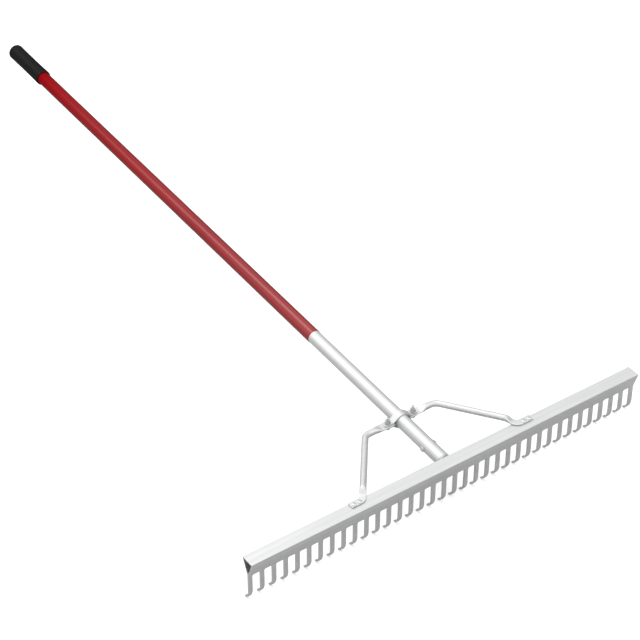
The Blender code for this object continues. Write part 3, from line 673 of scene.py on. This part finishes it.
def brace_arm(word, mirror, mat):
    """Fine version of a brace arm: a tube whose two ends are crushed flat."""
    node = f"brace_arm_{word}"
    low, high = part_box(node)
    inner_x, end_x = sorted((abs(low.x), abs(high.x)))
    points = arm_path(inner_x, end_x, mirror)
    total = points[-1][1]
    foot_crush = end_x - FOOT_CORNER_X[mirror] + FOOT_FLAT_LENGTH
    tube_start, tube_end = ring_centres("handle_tube")
    up_start = AXIS_X.cross(tube_end - tube_start).normalized()
    bm = bmesh.new()
    loops = {0.0: [], ARM_WALL: []}
    for i, (point, done) in enumerate(points):
        ahead = points[min(i + 1, len(points) - 1)][0] - points[max(i - 1, 0)][0]
        up_hint = up_start.lerp(AXIS_Z, smooth_step(done / total))
        side = ahead.cross(up_hint).normalized()
        up = side.cross(ahead).normalized()
        at_clamp = 1 - smooth_step((done - FLAT_AT_CLAMP) / CRUSH_LENGTH)
        at_foot = 1 - smooth_step((total - done - foot_crush) / CRUSH_LENGTH)
        middle = point - FOOT_DROP * at_foot * up
        flat_width = ARM_FLAT_WIDTH if at_clamp > at_foot else FOOT_WIDTH
        for wall, rings in loops.items():
            shape = arm_section(max(at_clamp, at_foot), wall, flat_width)
            section = [middle + s * side + u * up for s, u in shape]
            rings.append([bm.verts.new((mirror * p.x, p.y, p.z)) for p in section])
    tube_of_rings(bm, loops[0.0] + loops[ARM_WALL][::-1] + [loops[0.0][0]])
    arm = make(bm, f"{node}_finish", sharp=60)
    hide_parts(node)
    wear(arm, mat)


# ---------------------------------------------------------------- the other pieces

def metal_pieces(head_mat, sheet_mat, cast_mat, zinc_mat):
    """The head, bracket and clamp, and every fastener."""
    wear(refined("rake_head", 0.35 * MM), head_mat)
    wear(refined("handle_bracket", 0.6 * MM), cast_mat)
    for node in ("clamp_upper", "clamp_lower"):
        wear(refined(node, 0.4 * MM), sheet_mat)
    for word in ("left", "right"):
        clamp_bolt(word, zinc_mat)
    for node in sorted(frame["nodes"]):
        if node.startswith("clamp_nut"):
            wear(refined(node, 0.25 * MM), zinc_mat)
        elif node.startswith("clamp_washer") or node.endswith("_mandrel"):
            round_piece(node, 0.15 * MM, zinc_mat)
        elif node.endswith("_body") or node == "cross_rivet":
            round_piece(node, 0.12 * MM, sheet_mat)


# ---------------------------------------------------------------- stage

def floor():
    """Seamless pale floor. It looks lighter to the camera than to the rake, as if flags stood round it."""
    bpy.ops.mesh.primitive_plane_add(size=60, location=(0, 0, CAD_BOX[0].z - 0.5 * MM))
    plane = bpy.context.object
    plane.name = "studio_floor"
    n = Nodes("pale_floor")
    cloud = n.noise(3.0, 3.0, 0.55)
    n.finish(n.mix(cloud, grey(0.88), grey(0.90)), 0.9, 0.0, Specular_IOR_Level=0.0)
    path = n.tree.nodes.new("ShaderNodeLightPath")
    flag = n.tree.nodes.new("ShaderNodeBsdfDiffuse")
    flag.inputs["Color"].default_value = grey(FLOOR_BOUNCE)
    mix = n.tree.nodes.new("ShaderNodeMixShader")
    n.put(mix.inputs[0], path.outputs["Is Camera Ray"])
    glow = n.tree.nodes.new("ShaderNodeEmission")
    glow.inputs["Strength"].default_value = FLOOR_GLOW
    lit = n.tree.nodes.new("ShaderNodeAddShader")
    n.put(lit.inputs[0], n.shader.outputs[0])
    n.put(lit.inputs[1], glow.outputs[0])
    n.put(mix.inputs[1], flag.outputs[0])
    n.put(mix.inputs[2], lit.outputs[0])
    n.put(n.tree.nodes["Material Output"].inputs["Surface"], mix.outputs[0])
    plane.data.materials.append(n.mat)


def world():
    """Soft studio dome: bright above and to the left, darker towards the horizon and the right.

    The camera itself sees a plain pale backdrop in its place.
    """
    sky = bpy.data.worlds.new("studio")
    bpy.context.scene.world = sky
    sky.use_nodes = True
    tree = sky.node_tree
    coords = tree.nodes.new("ShaderNodeTexCoord")
    split = tree.nodes.new("ShaderNodeSeparateXYZ")
    ramp = tree.nodes.new("ShaderNodeValToRGB")
    ramp.color_ramp.interpolation = "EASE"
    low, high = ramp.color_ramp.elements
    low.position, low.color = 0.0, grey(DOME_LOW)
    high.position, high.color = DOME_RISE, grey(DOME_HIGH)
    tilt = tree.nodes.new("ShaderNodeMath")
    tilt.operation = "MULTIPLY_ADD"
    tilt.inputs[1].default_value = -DOME_TURN
    tree.links.new(coords.outputs["Generated"], split.inputs[0])
    tree.links.new(split.outputs["X"], tilt.inputs[0])
    tree.links.new(split.outputs["Z"], tilt.inputs[2])
    tree.links.new(tilt.outputs[0], ramp.inputs["Fac"])
    backdrop = tree.nodes.new("ShaderNodeMix")
    backdrop.data_type = "RGBA"
    backdrop.inputs[7].default_value = grey(BACKDROP)
    path = tree.nodes.new("ShaderNodeLightPath")
    tree.links.new(path.outputs["Is Camera Ray"], backdrop.inputs[0])
    tree.links.new(ramp.outputs["Color"], backdrop.inputs[6])
    tree.links.new(backdrop.outputs[2], tree.nodes["Background"].inputs["Color"])


def lamp(name, place, target, size, power):
    """Oblong soft lamp at a place, aimed at a target."""
    data = bpy.data.lights.new(name, "AREA")
    data.shape = "RECTANGLE"
    data.size, data.size_y = size
    data.energy = power
    obj = bpy.data.objects.new(name, data)
    bpy.context.scene.collection.objects.link(obj)
    obj.location = place
    obj.rotation_euler = (Vector(target) - Vector(place)).to_track_quat("-Z", "Y").to_euler()


def lights():
    """One long lamp above the handle and a weaker one in front of the head, to the right."""
    lamp("key_softbox", (-0.7, 2.4, 3.0), (0, 0.8, 0), (1.4, 3.2), KEY_POWER)
    lamp("front_softbox", (1.8, -2.6, 2.4), (0, 0.2, 0), (2.0, 2.0), FRONT_POWER)


def camera():
    """Long lens in front of the head, to its left and well above it, looking down along the handle."""
    data = bpy.data.cameras.new("photo_view")
    data.lens = CAMERA_LENS
    data.sensor_width = CAMERA_SENSOR
    data.clip_end = 100
    cam = bpy.data.objects.new("photo_view", data)
    bpy.context.scene.collection.objects.link(cam)
    cam.location = CAMERA_PLACE
    cam.rotation_euler = (math.pi / 2 - CAMERA_DOWN, 0, -CAMERA_AZIMUTH)
    bpy.context.scene.camera = cam


def main():
    """Dress every piece of the rake, then set up the studio round it."""
    along_head = (0.012, 1.0, 1.0)
    along_handle = (1.0, 1.0, 0.012)
    head_mat = extruded_aluminium("extruded_aluminium_head", along_head)
    tube_mat = extruded_aluminium("drawn_aluminium_tube", along_handle, dull=0.16)
    sheet_mat = extruded_aluminium("formed_aluminium", (0.25, 1.0, 1.0), lines=0.6, dull=0.16)
    metal_pieces(head_mat, sheet_mat, cast_aluminium(), zinc_steel())
    handle_pieces(tube_mat, red_vinyl(), black_rubber())
    brace_arm("left", -1, sheet_mat)
    brace_arm("right", 1, sheet_mat)
    floor()
    world()
    lights()
    camera()
    bpy.context.scene.view_settings.view_transform = "Standard"


main()
